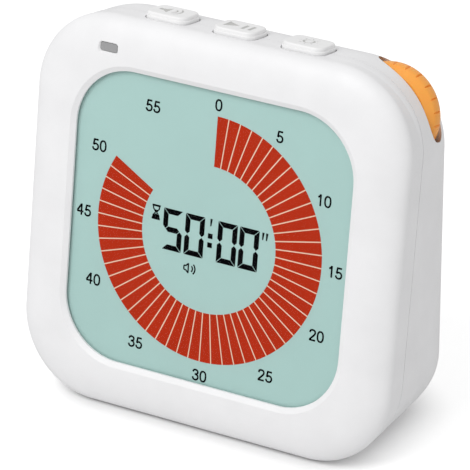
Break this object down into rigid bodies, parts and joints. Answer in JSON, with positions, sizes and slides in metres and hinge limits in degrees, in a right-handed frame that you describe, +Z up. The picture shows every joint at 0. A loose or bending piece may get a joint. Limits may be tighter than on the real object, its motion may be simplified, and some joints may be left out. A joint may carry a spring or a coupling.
{
  "type": "visual countdown timer",
  "caption": "Wedge shaped desk timer with a round cornered dial screen, raised top keys, a notched corner wheel and a hinged battery door.",
  "frame": {"origin": "middle of the footprint, on the surface that the feet stand on", "axes": "+X to the right as seen from the front, +Y to the back, +Z up"},
  "size_m": [0.088, 0.04, 0.0857],
  "materials": {
    "white_shell": "fine satin moulding",
    "key_white": "fine satin moulding",
    "clear_window": "clear, lightly frosted against glare",
    "dial_print": "printed film, pale green ground",
    "panel_glass": "polished",
    "inner_plastic": "moulded",
    "light_guide": "polished with a dotted back",
    "led": "resin",
    "dark_rubber": "smooth",
    "board": "solder mask",
    "black_plastic": "moulded",
    "steel": "plated",
    "can_aluminium": "drawn",
    "lamp_grey": "smoked clear moulding",
    "orange_wheel": "fine satin moulding",
    "foam": "closed cell foam",
    "red_wire": "insulation",
    "cell_jacket": "shrink jacket",
    "foot_rubber": "moulded"
  },
  "bodies": {
    "case": {"front_case": "white_shell", "rear_case": "white_shell", "display_window": "clear_window", "dial_film": "dial_print", "lcd_panel": "panel_glass", "lcd_frame": "inner_plastic", "backlight_panel": "light_guide", "backlight_leds": "led", "contact_strips": "dark_rubber", "main_board": "board", "timer_chip": "black_plastic", "crystal_can": "steel", "capacitors": "can_aluminium", "indicator_led": "led", "lamp_lens": "lamp_grey", "button_board": "board", "button_ribbon": "inner_plastic", "sound_switch": "steel", "start_switch": "steel", "light_switch": "steel", "encoder_body": "black_plastic", "speaker": "black_plastic", "speaker_gasket": "foam", "speaker_leads": "red_wire", "battery_top": "cell_jacket", "battery_middle": "cell_jacket", "battery_bottom": "cell_jacket", "battery_springs": "steel", "battery_plates": "steel", "battery_leads": "red_wire", "case_screws": "steel", "frame_screws": "steel", "board_screws": "steel", "rubber_feet": "foot_rubber"},
    "sound_key": {"sound_button": "key_white", "sound_plunger": "black_plastic"},
    "start_key": {"start_button": "key_white", "start_plunger": "black_plastic"},
    "light_key": {"light_button": "key_white", "light_plunger": "black_plastic"},
    "knob": {"knob_wheel": "orange_wheel", "knob_shaft": "steel"},
    "door": {"battery_door": "white_shell"}
  },
  "joints": [
    {"name": "sound_key_press", "type": "slide", "parent": "case", "child": "sound_key", "axis": [0, -0.1426, -0.9898], "range_m": [0, 0.0005], "stiffness_N_per_m": 1500},
    {"name": "start_key_press", "type": "slide", "parent": "case", "child": "start_key", "axis": [0, -0.1426, -0.9898], "range_m": [0, 0.0005], "stiffness_N_per_m": 1500},
    {"name": "light_key_press", "type": "slide", "parent": "case", "child": "light_key", "axis": [0, -0.1426, -0.9898], "range_m": [0, 0.0005], "stiffness_N_per_m": 1500},
    {"name": "knob_turn", "type": "hinge", "parent": "case", "child": "knob", "pos_m": [0.0324, 0.00532, 0.07122], "axis": [0, -0.9898, 0.1426], "continuous": true},
    {"name": "door_swing", "type": "hinge", "parent": "case", "child": "door", "pos_m": [0, 0.0189, 0.01875], "axis": [-1, 0, 0], "range_deg": [0, 75]}
  ]
}
